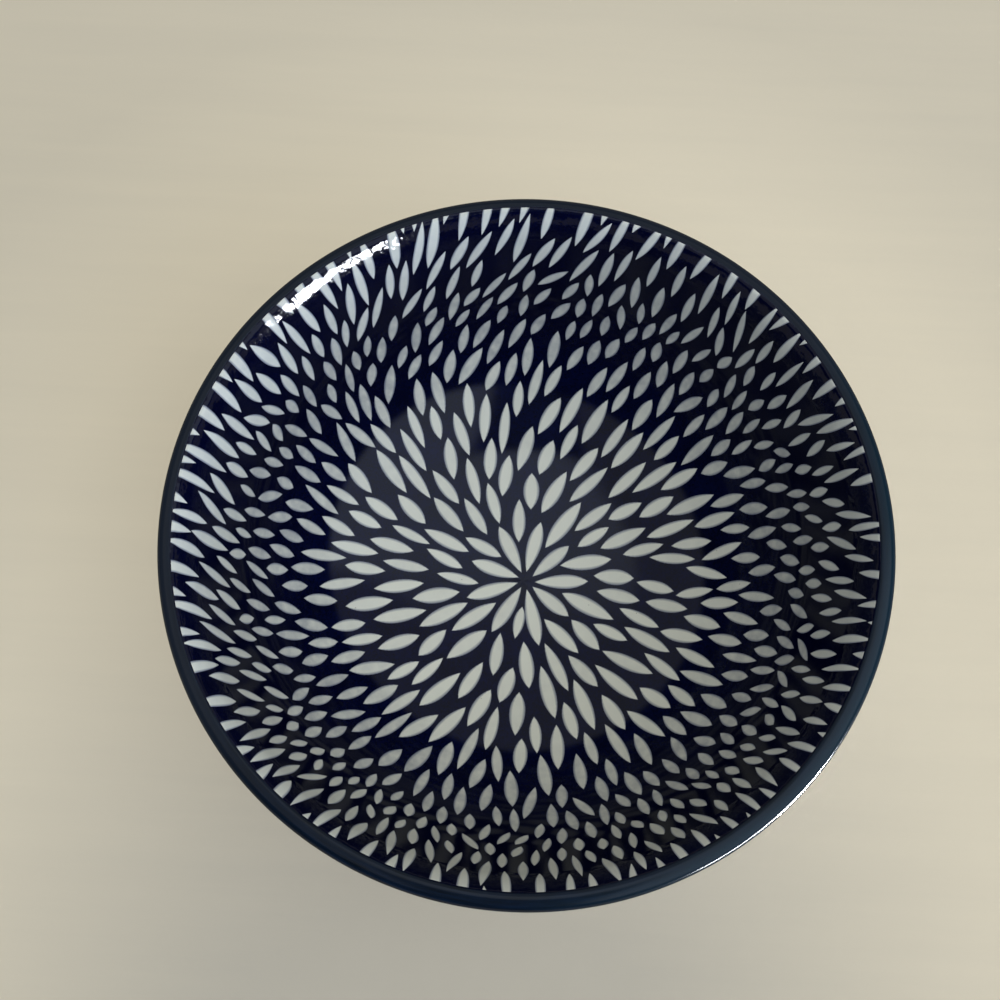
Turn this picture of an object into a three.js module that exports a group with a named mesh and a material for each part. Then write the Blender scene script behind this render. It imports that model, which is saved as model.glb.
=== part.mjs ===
// A round stoneware bowl on a turned foot ring. The fired clay is two pieces, body and foot ring, and
// four coats of glaze are fused to it: the blue lining, the dark band over the lip, the outside coat
// and the coat in the well under the bowl. Millimetres, +Z up, the origin on the table at the bowl's axis.
import * as THREE from "three";

// Rim and overall size, over the glaze
const RIM_DIAMETER = 156;
const BOWL_HEIGHT = 67;
const WALL_THICKNESS = 5.6;
const RIM_LEAN_DEGREES = 16;

// The lip: it flares out from the wall's lean, rounds over the crest and has a tighter outer edge
const LIP_FLARE_DEGREES = 38;
const LIP_FLARE_RADIUS = 18;
const LIP_INNER_RADIUS = 1.6;
const LIP_SHOULDER_DEGREES = 60;
const LIP_EDGE_RADIUS = 1.2;

// How far the dark band reaches in over the crest of the lip
const BAND_REACH_INSIDE = 0.9;

// Inside, from the lip down to the middle of the floor
const WALL_ARC_RADIUS = 190;
const INSIDE_KNUCKLE_RADIUS = 46;
const FLOOR_ARC_RADIUS = 250;
const FLOOR_THICKNESS = 6;

// Outside, from the wall down to the foot
const OUTSIDE_KNUCKLE_RADIUS = 62;
const FOOT_DIAMETER = 76;
const FOOT_HEIGHT = 7;
const FOOT_RING_WIDTH = 5.6;
const FOOT_EDGE_RADIUS = 1.2;
const BARE_FOOT_HEIGHT = 1.6;

// Thickness of every coat of glaze
const GLAZE_THICKNESS = 0.4;

// How finely round stretches are divided
const TURNS = 48;
const FLOOR_STEPS = 4;
const KNUCKLE_STEPS = 7;
const WALL_STEPS = 4;
const LIP_FLARE_STEPS = 3;
const LIP_INSIDE_STEPS = 2;
const BAND_INSIDE_STEPS = 2;
const LIP_TOP_STEPS = 3;
const LIP_EDGE_STEPS = 5;
const FOOT_EDGE_STEPS = 3;

const rimRadius = RIM_DIAMETER / 2;
const footRadius = FOOT_DIAMETER / 2;
const lean = THREE.MathUtils.degToRad(RIM_LEAN_DEGREES);
const flare = THREE.MathUtils.degToRad(LIP_FLARE_DEGREES);
const shoulder = THREE.MathUtils.degToRad(LIP_SHOULDER_DEGREES);

// A point of a section: radius from the axis, then height.
const point = (radius, height) => new THREE.Vector2(radius, height);

// The two points where circles about a and b, of radius ra and rb, cross.
function crossings(a, ra, b, rb) {
  const along = b.clone().sub(a);
  const distance = along.length();
  along.divideScalar(distance);
  const reach = (ra * ra - rb * rb + distance * distance) / (2 * distance);
  const half = Math.sqrt(ra * ra - reach * reach);
  const foot = a.clone().addScaledVector(along, reach);
  const side = point(-along.y, along.x);
  return [foot.clone().addScaledVector(side, half), foot.clone().addScaledVector(side, -half)];
}

// The angle, about a centre, at which another point is seen.
const bearing = (centre, target) => Math.atan2(target.y - centre.y, target.x - centre.x);

const outermost = (pair) => (pair[0].x > pair[1].x ? pair[0] : pair[1]);

// Which way the inside faces where its surface is turned up by an angle.
const facing = (angle) => point(-Math.cos(angle), Math.sin(angle));

// Inside the lip, from the crest down: the rounding, the flare, then the wall, each run into the next.
const crestToRounding = point(0, -LIP_INNER_RADIUS);
const crestToFlare = crestToRounding
  .clone()
  .addScaledVector(facing(flare), LIP_INNER_RADIUS - LIP_FLARE_RADIUS);
const crestToWall = crestToFlare
  .clone()
  .addScaledVector(facing(lean), LIP_FLARE_RADIUS + WALL_ARC_RADIUS);

// Outside the crest comes one wide arc, the lip's top, and then the tight outer edge. The top has the one
// radius that brings the edge to an outside wall WALL_THICKNESS from the inside one, so what it has over
// the edge's radius is the root of a quadratic.
const outerWallRadius = WALL_ARC_RADIUS + WALL_THICKNESS;
const shoulderOut = point(Math.cos(shoulder), Math.sin(shoulder));
const edgeFromWall = point(0, -LIP_EDGE_RADIUS).sub(crestToWall);
const growth = shoulderOut.clone().sub(point(0, 1));
const quadratic = {
  square: growth.lengthSq(),
  linear: 2 * growth.dot(edgeFromWall),
  constant: edgeFromWall.lengthSq() - (outerWallRadius - LIP_EDGE_RADIUS) ** 2,
};
const extraRadius =
  (Math.sqrt(quadratic.linear ** 2 - 4 * quadratic.square * quadratic.constant) - quadratic.linear) /
  (2 * quadratic.square);
const lipTopRadius = LIP_EDGE_RADIUS + extraRadius;

const crestPoint = point(rimRadius - LIP_EDGE_RADIUS - extraRadius * shoulderOut.x, BOWL_HEIGHT);
const roundingCentre = crestPoint.clone().add(crestToRounding);
const flareCentre = crestPoint.clone().add(crestToFlare);
const wallCentre = crestPoint.clone().add(crestToWall);
const lipTopCentre = crestPoint.clone().sub(point(0, lipTopRadius));
const lipEdgeCentre = lipTopCentre.clone().addScaledVector(shoulderOut, extraRadius);

// The floor is a shallow arc about the axis, and the knuckle runs from it into the wall.
const floorHeight = FOOT_HEIGHT + FLOOR_THICKNESS;
const floorCentre = point(0, floorHeight + FLOOR_ARC_RADIUS);
const knuckleCentre = outermost(
  crossings(
    floorCentre, FLOOR_ARC_RADIUS - INSIDE_KNUCKLE_RADIUS,
    wallCentre, WALL_ARC_RADIUS - INSIDE_KNUCKLE_RADIUS,
  ),
);

// Outside, the wall keeps its thickness down to a wider knuckle, which ends at the top of the foot.
const footTop = point(footRadius, FOOT_HEIGHT);
const outerKnuckleCentre = outermost(
  crossings(wallCentre, outerWallRadius - OUTSIDE_KNUCKLE_RADIUS, footTop, OUTSIDE_KNUCKLE_RADIUS),
);

const angles = {
  floorToKnuckle: bearing(floorCentre, knuckleCentre),
  knuckleToWall: bearing(wallCentre, knuckleCentre),
  insideTop: -lean,
  flareStart: Math.PI - lean,
  flareEnd: Math.PI - flare,
  bandEdge: Math.PI / 2 + Math.asin(BAND_REACH_INSIDE / LIP_INNER_RADIUS),
  crest: Math.PI / 2,
  shoulder,
  outsideTop: bearing(wallCentre, lipEdgeCentre),
  outerKnuckleToWall: bearing(wallCentre, outerKnuckleCentre),
};

function arc(centre, radius, from, to, steps) {
  const clockwise = to < from;
  return new THREE.EllipseCurve(centre.x, centre.y, radius, radius, from, to, clockwise).getPoints(steps);
}

// Stretches that follow one another share their end point, so each drops its first.
function joined(...stretches) {
  return stretches.flatMap((stretch, index) => (index === 0 ? stretch : stretch.slice(1)));
}

// The surface at a depth under the glaze: 0 is the glazed surface, GLAZE_THICKNESS the clay. The lining
// runs up over the inside of the lip to the edge of the band.
function insideCurve(depth) {
  const floor = arc(
    floorCentre, FLOOR_ARC_RADIUS + depth, -Math.PI / 2, angles.floorToKnuckle, FLOOR_STEPS,
  );
  floor[0].x = 0;
  const knuckle = arc(
    knuckleCentre, INSIDE_KNUCKLE_RADIUS + depth, angles.floorToKnuckle, angles.knuckleToWall,
    KNUCKLE_STEPS,
  );
  const wall = arc(
    wallCentre, WALL_ARC_RADIUS + depth, angles.knuckleToWall, angles.insideTop, WALL_STEPS,
  );
  const flared = arc(
    flareCentre, LIP_FLARE_RADIUS - depth, angles.flareStart, angles.flareEnd, LIP_FLARE_STEPS,
  );
  const lip = arc(
    roundingCentre, LIP_INNER_RADIUS - depth, angles.flareEnd, angles.bandEdge, LIP_INSIDE_STEPS,
  );
  return joined(floor, knuckle, wall, flared, lip);
}

// The band, from its edge inside over the crest and down the outside of the lip.
function bandCurve(depth) {
  const inside = arc(
    roundingCentre, LIP_INNER_RADIUS - depth, angles.bandEdge, angles.crest, BAND_INSIDE_STEPS,
  );
  const top = arc(lipTopCentre, lipTopRadius - depth, angles.crest, angles.shoulder, LIP_TOP_STEPS);
  const edge = arc(
    lipEdgeCentre, LIP_EDGE_RADIUS - depth, angles.shoulder, angles.outsideTop, LIP_EDGE_STEPS,
  );
  return joined(inside, top, edge);
}

// Where the outside knuckle, at a depth, comes down to the side of the foot at the same depth.
function footCorner(depth) {
  const radius = OUTSIDE_KNUCKLE_RADIUS - depth;
  const across = footRadius - depth - outerKnuckleCentre.x;
  return point(footRadius - depth, outerKnuckleCentre.y - Math.sqrt(radius * radius - across * across));
}

function outsideCurve(depth) {
  const wall = arc(
    wallCentre, outerWallRadius - depth, angles.outsideTop, angles.outerKnuckleToWall, WALL_STEPS,
  );
  const corner = footCorner(depth);
  const knuckle = arc(
    outerKnuckleCentre, OUTSIDE_KNUCKLE_RADIUS - depth, angles.outerKnuckleToWall,
    bearing(outerKnuckleCentre, corner), KNUCKLE_STEPS,
  );
  return joined(wall, knuckle);
}

// A closed section turned once about the axis. Sections are listed the way that makes the faces point
// out, whichever way round their points were given.
function turned(section) {
  const clockwise = THREE.ShapeUtils.isClockWise(section);
  const outline = clockwise ? [...section].reverse() : [...section];
  if (outline[0].x > 0 || outline[outline.length - 1].x > 0) {
    outline.push(outline[0].clone());
  }
  return new THREE.LatheGeometry(outline, TURNS).rotateX(Math.PI / 2);
}

const bowl = new THREE.Group();

function addPiece(name, section, colour, roughness) {
  const material = new THREE.MeshStandardMaterial({ color: colour, roughness, metalness: 0 });
  const mesh = new THREE.Mesh(turned(section), material);
  mesh.name = name;
  bowl.add(mesh);
}

// A coat of glaze lies between the glazed surface and the clay under it.
const coat = (surface, clay) => [...surface, ...[...clay].reverse()];

const clayBase = footCorner(GLAZE_THICKNESS);
const wellRadius = footRadius - FOOT_RING_WIDTH;
const wellClayRadius = wellRadius + GLAZE_THICKNESS;
const footClayRadius = footRadius - GLAZE_THICKNESS;

// The body: floor, wall and lip in one, flat underneath where the foot ring is luted on.
addPiece(
  "stoneware_body",
  [
    ...joined(
      insideCurve(GLAZE_THICKNESS), bandCurve(GLAZE_THICKNESS), outsideCurve(GLAZE_THICKNESS),
    ),
    point(0, clayBase.y),
  ],
  0xcfc4ae,
  0.9,
);

// The foot ring, with both lower edges rounded and the bare rest between them.
function footRingSection() {
  const outerEdge = arc(
    point(footClayRadius - FOOT_EDGE_RADIUS, FOOT_EDGE_RADIUS), FOOT_EDGE_RADIUS, 0, -Math.PI / 2,
    FOOT_EDGE_STEPS,
  );
  const innerEdge = arc(
    point(wellClayRadius + FOOT_EDGE_RADIUS, FOOT_EDGE_RADIUS), FOOT_EDGE_RADIUS,
    -Math.PI / 2, -Math.PI, FOOT_EDGE_STEPS,
  );
  return [
    point(wellClayRadius, clayBase.y),
    point(footClayRadius, clayBase.y),
    ...outerEdge,
    ...innerEdge,
  ];
}
addPiece("foot_ring", footRingSection(), 0xc9bda6, 0.92);

addPiece("inside_glaze", coat(insideCurve(0), insideCurve(GLAZE_THICKNESS)), 0x0a0c38, 0.12);

addPiece("rim_band", coat(bandCurve(0), bandCurve(GLAZE_THICKNESS)), 0x1d3142, 0.2);

// Outside, the glaze runs down the foot and stops short of the table.
const withFoot = (curve, depth) => [...curve, point(footRadius - depth, BARE_FOOT_HEIGHT)];
addPiece(
  "outside_glaze",
  coat(
    withFoot(outsideCurve(0), 0),
    withFoot(outsideCurve(GLAZE_THICKNESS), GLAZE_THICKNESS),
  ),
  0x132234,
  0.16,
);

// The well under the bowl: a disc of glaze on the clay, turned down the inside of the foot ring.
addPiece(
  "foot_well_glaze",
  [
    point(0, clayBase.y),
    point(wellClayRadius, clayBase.y),
    point(wellClayRadius, BARE_FOOT_HEIGHT),
    point(wellRadius, BARE_FOOT_HEIGHT),
    point(wellRadius, clayBase.y - GLAZE_THICKNESS),
    point(0, clayBase.y - GLAZE_THICKNESS),
  ],
  0x16273a,
  0.16,
);

export default bowl;
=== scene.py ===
# %% [markdown]
# # A blue and white stoneware bowl
#
# This lesson dresses a small stoneware bowl. Its solids come in at their real size as a fixed frame:
# the fired clay body, the foot ring and four coats of glaze. They are faceted, because they were made
# for measuring. Blender adds what the eye meets: smooth glossy coats, a burst of pale petals over the
# whole inside, and a finish for each surface. Everything stays in metres and in the frame's own axes,
# so no piece has to be fitted afterwards.

# %% Load the frame
import math
import random
from functools import partial

import bpy
import numpy as np
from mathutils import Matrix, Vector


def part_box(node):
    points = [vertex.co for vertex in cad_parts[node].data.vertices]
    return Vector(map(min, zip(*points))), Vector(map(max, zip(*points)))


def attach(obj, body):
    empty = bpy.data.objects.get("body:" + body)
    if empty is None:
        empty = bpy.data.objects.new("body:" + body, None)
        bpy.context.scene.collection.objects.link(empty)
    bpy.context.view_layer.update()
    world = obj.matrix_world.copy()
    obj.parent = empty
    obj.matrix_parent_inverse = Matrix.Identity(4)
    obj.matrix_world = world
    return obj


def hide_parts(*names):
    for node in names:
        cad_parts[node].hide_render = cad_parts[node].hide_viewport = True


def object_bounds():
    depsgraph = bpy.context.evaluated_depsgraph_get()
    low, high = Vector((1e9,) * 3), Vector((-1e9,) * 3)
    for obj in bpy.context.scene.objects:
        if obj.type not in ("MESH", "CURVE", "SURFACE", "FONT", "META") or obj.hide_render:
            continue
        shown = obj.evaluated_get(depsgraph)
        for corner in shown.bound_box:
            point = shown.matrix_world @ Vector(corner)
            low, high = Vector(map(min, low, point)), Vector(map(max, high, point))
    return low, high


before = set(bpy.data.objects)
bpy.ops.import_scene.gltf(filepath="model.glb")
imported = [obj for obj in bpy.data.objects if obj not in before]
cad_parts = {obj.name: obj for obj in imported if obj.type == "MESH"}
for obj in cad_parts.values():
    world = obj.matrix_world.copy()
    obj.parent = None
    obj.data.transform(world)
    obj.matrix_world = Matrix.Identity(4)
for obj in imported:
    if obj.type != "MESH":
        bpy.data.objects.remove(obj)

cad_low, cad_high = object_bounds()
print("nodes in the frame:", sorted(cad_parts))
print("frame box in metres:", [round(side, 4) for side in (*cad_low, *cad_high)])

# %% [markdown]
# ## The camera
#
# The bowl was seen from above and a little from the front, through a phone's lens. A camera can be
# aimed with a Track To constraint, but a place and three angles are easier to compare with a picture.
# The rim is nearly a circle in the picture, and its slight flattening gives the tilt. The angles are
# turned in the order Y, X, Z: the aim to the side, then the tilt, then the turn about the bowl's axis.

# %% Place the camera
MM = 0.001
PICTURE_PIXELS = 1000
FOCAL_PIXELS = 1200
SENSOR_WIDTH = 36.0
CAMERA_PLACE = (0.0, -69.6 * MM, 310.46 * MM)
CAMERA_TILT = 16.99
CAMERA_SIDE = 0.33
CAMERA_TURN = 3.27

camera_data = bpy.data.cameras.new("camera")
camera_data.sensor_width = SENSOR_WIDTH
camera_data.lens = SENSOR_WIDTH * FOCAL_PIXELS / PICTURE_PIXELS
camera = bpy.data.objects.new("camera", camera_data)
camera.location = CAMERA_PLACE
camera.rotation_mode = "YXZ"
camera.rotation_euler = [math.radians(angle) for angle in (CAMERA_TILT, CAMERA_SIDE, CAMERA_TURN)]
bpy.context.scene.collection.objects.link(camera)
bpy.context.scene.camera = camera
print("lens in mm:", round(camera_data.lens, 1))

# %% [markdown]
# ## The section
#
# A bowl is turned on a wheel, so half of its section holds the whole form. It could be drawn as a
# curve and spun with a Screw modifier. Here it is a chain of arcs that run smoothly into each other,
# because the petals need to know the exact place and slope of the inside at any distance from its
# middle. The arcs repeat the frame's own sizes, and the rim and the height are read from the frame.

# %% Driving sizes of the section, in mm
RIM_RADIUS = cad_high.x / MM
BOWL_HEIGHT = cad_high.z / MM
WALL_THICKNESS = 5.6
RIM_LEAN = math.radians(16)
LIP_FLARE = math.radians(38)
LIP_FLARE_RADIUS = 18
LIP_INNER_RADIUS = 1.6
LIP_SHOULDER = math.radians(60)
LIP_EDGE_RADIUS = 1.2
BAND_REACH_INSIDE = 0.9
WALL_ARC_RADIUS = 190
INSIDE_KNUCKLE_RADIUS = 46
FLOOR_ARC_RADIUS = 250
FLOOR_THICKNESS = 6
OUTSIDE_KNUCKLE_RADIUS = 62
FOOT_RADIUS = 38
FOOT_HEIGHT = 7
FOOT_RING_WIDTH = 5.6
FOOT_EDGE_RADIUS = 1.2
FOOT_FILLET_RADIUS = 2.5
BARE_FOOT_HEIGHT = 1.6
GLAZE_THICKNESS = 0.4
print("rim radius and height in mm:", round(RIM_RADIUS, 2), round(BOWL_HEIGHT, 2))

# %% Look from one centre to another


def bearing(centre, target):
    """The angle at which a target is seen from a centre."""
    return math.atan2(target[1] - centre[1], target[0] - centre[0])


def outer_crossing(a, radius_a, b, radius_b):
    """Where two circles cross, on the side away from the bowl's axis."""
    along = b - a
    apart = np.hypot(*along)
    along = along / apart
    reach = (radius_a**2 - radius_b**2 + apart**2) / (2 * apart)
    side = math.sqrt(radius_a**2 - reach**2) * np.array([-along[1], along[0]])
    return max(a + reach * along + side, a + reach * along - side, key=lambda spot: spot[0])


print("straight up is at", round(math.degrees(bearing((0, 0), (0, 1)))), "degrees")

# %% Work out the lip
lean_out = np.array([-math.cos(RIM_LEAN), math.sin(RIM_LEAN)])
flare_out = np.array([-math.cos(LIP_FLARE), math.sin(LIP_FLARE)])
crest_to_rounding = np.array([0.0, -LIP_INNER_RADIUS])
crest_to_flare = crest_to_rounding + (LIP_INNER_RADIUS - LIP_FLARE_RADIUS) * flare_out
crest_to_wall = crest_to_flare + (LIP_FLARE_RADIUS + WALL_ARC_RADIUS) * lean_out

# The lip's top is the one arc that runs into an outside wall at the wall's thickness, so its radius
# is the root of a quadratic: how much larger it is than the radius of the lip's outer edge.
outer_wall_radius = WALL_ARC_RADIUS + WALL_THICKNESS
shoulder_out = np.array([math.cos(LIP_SHOULDER), math.sin(LIP_SHOULDER)])
edge_from_wall = np.array([0.0, -LIP_EDGE_RADIUS]) - crest_to_wall
step_out = shoulder_out - [0.0, 1.0]
square = step_out @ step_out
linear_part = 2 * step_out @ edge_from_wall
constant = edge_from_wall @ edge_from_wall - (outer_wall_radius - LIP_EDGE_RADIUS) ** 2
extra_radius = (math.sqrt(linear_part**2 - 4 * square * constant) - linear_part) / (2 * square)
lip_top_radius = LIP_EDGE_RADIUS + extra_radius
print("radius of the lip's top in mm:", round(lip_top_radius, 3))

# %% Find the centres of the arcs
crest_radius = RIM_RADIUS - LIP_EDGE_RADIUS - extra_radius * shoulder_out[0]
crest_point = np.array([crest_radius, BOWL_HEIGHT])
rounding_centre = crest_point + crest_to_rounding
flare_centre = crest_point + crest_to_flare
wall_centre = crest_point + crest_to_wall
lip_top_centre = crest_point - [0.0, lip_top_radius]
lip_edge_centre = lip_top_centre + extra_radius * shoulder_out
floor_centre = np.array([0.0, FOOT_HEIGHT + FLOOR_THICKNESS + FLOOR_ARC_RADIUS])
knuckle_centre = outer_crossing(
    floor_centre, FLOOR_ARC_RADIUS - INSIDE_KNUCKLE_RADIUS,
    wall_centre, WALL_ARC_RADIUS - INSIDE_KNUCKLE_RADIUS,
)
outer_knuckle_centre = outer_crossing(
    wall_centre, outer_wall_radius - OUTSIDE_KNUCKLE_RADIUS,
    np.array([FOOT_RADIUS, FOOT_HEIGHT]), OUTSIDE_KNUCKLE_RADIUS,
)
fillet_across = FOOT_RADIUS + FOOT_FILLET_RADIUS - outer_knuckle_centre[0]
fillet_drop = math.sqrt((OUTSIDE_KNUCKLE_RADIUS + FOOT_FILLET_RADIUS) ** 2 - fillet_across**2)
fillet_centre = outer_knuckle_centre + [fillet_across, -fillet_drop]
print("crest of the lip, in mm from the axis:", round(crest_radius, 2))

# %% [markdown]
# Each arc is a centre, a radius and two angles, in the order in which a finger would follow the
# surface: out from the middle of the floor, up the wall, over the lip and down to the foot. Walked
# that way, the open air is always on the left, so one rule gives the outward normal everywhere.

# %% Chain the arcs
floor_to_knuckle = bearing(floor_centre, knuckle_centre)
knuckle_to_wall = bearing(wall_centre, knuckle_centre)
outside_top = bearing(wall_centre, lip_edge_centre)
outer_knuckle_to_wall = bearing(wall_centre, outer_knuckle_centre)
crest = math.pi / 2
band_edge = crest + math.asin(BAND_REACH_INSIDE / LIP_INNER_RADIUS)

INSIDE = [
    (floor_centre, FLOOR_ARC_RADIUS, -math.pi / 2, floor_to_knuckle),
    (knuckle_centre, INSIDE_KNUCKLE_RADIUS, floor_to_knuckle, knuckle_to_wall),
    (wall_centre, WALL_ARC_RADIUS, knuckle_to_wall, -RIM_LEAN),
    (flare_centre, LIP_FLARE_RADIUS, math.pi - RIM_LEAN, math.pi - LIP_FLARE),
    (rounding_centre, LIP_INNER_RADIUS, math.pi - LIP_FLARE, crest),
]
LIP_OUTSIDE = [
    (lip_top_centre, lip_top_radius, crest, LIP_SHOULDER),
    (lip_edge_centre, LIP_EDGE_RADIUS, LIP_SHOULDER, outside_top),
]
OVER_LIP = INSIDE + LIP_OUTSIDE
OUTSIDE = [
    (wall_centre, outer_wall_radius, outside_top, outer_knuckle_to_wall),
    (
        outer_knuckle_centre, OUTSIDE_KNUCKLE_RADIUS, outer_knuckle_to_wall,
        bearing(outer_knuckle_centre, fillet_centre),
    ),
    (fillet_centre, FOOT_FILLET_RADIUS, bearing(fillet_centre, outer_knuckle_centre), math.pi),
]
print("arcs inside, over the lip and outside:", len(INSIDE), len(LIP_OUTSIDE), len(OUTSIDE))

# %% Walk along the arcs


def length_of(arcs):
    """How far a finger travels along the arcs, in mm."""
    return sum(radius * abs(end - start) for centre, radius, start, end in arcs)


def walk(arcs, distance):
    """Radius, height and outward normal at each distance along the arcs, in mm."""
    spans = np.array([radius * abs(end - start) for centre, radius, start, end in arcs])
    ends = np.cumsum(spans)
    distance = np.clip(np.asarray(distance, float), 0, ends[-1])
    which = np.minimum(np.searchsorted(ends, distance), len(arcs) - 1)
    radii = np.array([arc[1] for arc in arcs])[which]
    starts = np.array([arc[2] for arc in arcs])[which]
    turn = np.sign([arc[3] - arc[2] for arc in arcs])[which]
    angle = starts + turn * (distance - (ends - spans)[which]) / radii
    out = np.stack([np.cos(angle), np.sin(angle)], -1)
    place = np.array([arc[0] for arc in arcs])[which] + radii[..., None] * out
    return place, -turn[..., None] * out


wall_top = length_of(INSIDE[:3])
lip_length = length_of(INSIDE)
lining_edge = lip_length - LIP_INNER_RADIUS * (band_edge - crest)
print("inside, floor and wall in mm:", round(wall_top, 2), "and on to the band:", round(lining_edge, 2))

# %% [markdown]
# ## Turning the section into coats
#
# A coat of glaze is a shell a few tenths of a millimetre thick. A Screw modifier would turn every
# piece perfectly true, but a glaze that has run and set in the kiln is never quite even, and its
# mirror-like shine shows it. So each coat is a grid of points worked out with numpy, and each point
# sinks by a few hundredths of a millimetre where slow ripples go round the bowl.

# %% Sink and turn the section's points
TAU = 2 * math.pi
TURNS = 384
around = np.arange(TURNS) * TAU / TURNS
RIPPLE_DEPTH = 0.03
RIPPLES = [(3, 0.21, 1.0), (5, -0.13, 0.0), (2, 0.33, 2.0)]


def ripple(distance, angle):
    """How far the glaze has sunk at a place, in mm: never less than nothing, so no piece grows."""
    waves = sum(np.sin(turns * angle + slant * distance + start) for turns, slant, start in RIPPLES)
    return RIPPLE_DEPTH * (len(RIPPLES) + waves) / (2 * len(RIPPLES))


def turned(place, normal, sunk, angle):
    """Points in space, in mm: places on the section, sunk below the surface and turned to an angle."""
    radius, height = np.moveaxis(place - normal * np.asarray(sunk)[..., None], -1, 0)
    return np.stack([radius * np.cos(angle), radius * np.sin(angle), height + 0 * angle], -1)


print("points in each turn:", TURNS)

# %% Make a piece of points and faces
SHARP_ANGLE = math.radians(45)


def piece(name, points, faces, material, node_name):
    """A named mesh in the frame: smooth, with its corners kept sharp, riding on the bowl's one body."""
    mesh = bpy.data.meshes.new(name)
    mesh.from_pydata((np.asarray(points) * MM).tolist(), [], faces)
    mesh.shade_smooth()
    mesh.set_sharp_from_angle(angle=SHARP_ANGLE)
    mesh.materials.append(material)
    made = bpy.data.objects.new(name, mesh)
    bpy.context.scene.collection.objects.link(made)
    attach(made, "root")
    if node_name:
        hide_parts(node_name)
    print(name, "has", len(mesh.polygons), "faces")
    return made


def ring_faces(rows):
    """Quads between rows of points, each once round the bowl, and from the last row to the first."""
    faces = []
    for row in range(rows):
        here, following = row * TURNS, (row + 1) % rows * TURNS
        for turn in range(TURNS):
            beside = (turn + 1) % TURNS
            faces.append((here + turn, following + turn, following + beside, here + beside))
    return faces


def capped_faces(rows):
    """Quads as in a ring, but with the two ends closed on the axis by the last two points."""
    faces = ring_faces(rows)[: (rows - 1) * TURNS]
    first, last = rows * TURNS, rows * TURNS + 1
    end = (rows - 1) * TURNS
    for turn in range(TURNS):
        beside = (turn + 1) % TURNS
        faces.append((first, turn, beside))
        faces.append((last, end + beside, end + turn))
    return faces


print("faces in a closed ring of two rows:", len(ring_faces(2)))

# %% [markdown]
# ## Finishes
#
# Every surface here is fired: three glazes, one white slip and bare clay. A finish could be painted
# as an image, but a picture has one size and a seam. Node patterns have neither, and their scale can
# be worked out from real millimetres. One small function adds each node, with its settings and links.
# It takes inputs by name, or as a row in the order in which the node shows them. A Map Range node's
# row is a value and four numbers: the two ends of the value's run, and what comes out at each end.
# The name of such a four says what changes.

# %% Colours and nodes


def linear(hex_colour):
    """An sRGB hex colour as the linear values that a shader works with."""
    shares = [int(hex_colour[at : at + 2], 16) / 255 for at in (1, 3, 5)]
    lifted = [s / 12.92 if s <= 0.04045 else ((s + 0.055) / 1.055) ** 2.4 for s in shares]
    return (*lifted, 1.0)


def add(tree, kind, inputs=(), **settings):
    """A new node with its settings, each input set to a value or linked from another node."""
    made = tree.nodes.new("ShaderNode" + kind)
    for key, value in settings.items():
        setattr(made, key, value)
    if not isinstance(inputs, dict):
        shown = [place for place, socket in enumerate(made.inputs) if socket.enabled]
        inputs = dict(zip(shown, inputs))
    for key, value in inputs.items():
        if isinstance(value, bpy.types.Node):
            value = next(socket for socket in value.outputs if socket.enabled)
        if isinstance(value, bpy.types.NodeSocket):
            tree.links.new(value, made.inputs[key])
        else:
            made.inputs[key].default_value = value
    return made


def per_metre(millimetres):
    """The scale at which a noise pattern has features of that size."""
    return 1 / (millimetres * MM)


def blank(name):
    """A new material, the function that adds nodes to it, and the place of a point on its piece."""
    material = bpy.data.materials.new(name)
    material.use_nodes = True
    material.node_tree.nodes.clear()
    node = partial(add, material.node_tree)
    return material, node, node("TexCoord").outputs["Object"]


print("white in linear values:", linear("#ffffff")[:3])

# %% [markdown]
# ### Clear gloss glaze
#
# One clear glaze covers the whole inside. It is a coat of its own over the matt colours: a thin hard
# film with a sharp reflection. Where the floor of the bowl looks up at the ceiling, that reflection
# lies over the blue as a pale veil. The film's index is high and its share low, which together make
# the veil as strong as it is and keep the steep wall from mirroring the petals opposite. The film is
# not quite flat: it has long low waves everywhere and short ones where it ran over the petals' ends.

# %% Clear glaze
CLEAR_GLAZE_IOR = 1.8
CLEAR_GLAZE_SHARE = 0.18
CLEAR_GLAZE_ROUGHNESS = 0.09
GLAZE_WAVE_MM = 5.0
GLAZE_WAVE_DEPTH = 0.01 * MM
GLAZE_RUN_MM = 3.2
GLAZE_RUN_DEEPENS = ((BOWL_HEIGHT - 7.5) * MM, (BOWL_HEIGHT - 4.5) * MM, 0.0, 26.0)


def glaze_over(node, place, colour):
    """Covers a colour with the clear glaze and sends it to the material's output."""
    wave = node("TexNoise", {"Vector": place, "Scale": per_metre(GLAZE_WAVE_MM), "Detail": 1.0})
    run = node("TexNoise", {"Vector": place, "Scale": per_metre(GLAZE_RUN_MM), "Detail": 2.0})
    height = node("SeparateXYZ", [place]).outputs["Z"]
    deeper = node("MapRange", [height, *GLAZE_RUN_DEEPENS], interpolation_type="SMOOTHSTEP")
    relief = node("Math", [run, deeper, wave], operation="MULTIPLY_ADD")
    bump = node("Bump", {"Height": relief, "Strength": 1.0, "Distance": GLAZE_WAVE_DEPTH})
    film = {
        "Base Color": colour, "Specular IOR Level": 0.0, "Coat Weight": CLEAR_GLAZE_SHARE,
        "Coat Roughness": CLEAR_GLAZE_ROUGHNESS, "Coat IOR": CLEAR_GLAZE_IOR, "Coat Normal": bump,
    }
    node("OutputMaterial", {"Surface": node("BsdfPrincipled", film)})


print("clear glaze ready, share of the film:", CLEAR_GLAZE_SHARE)
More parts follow.
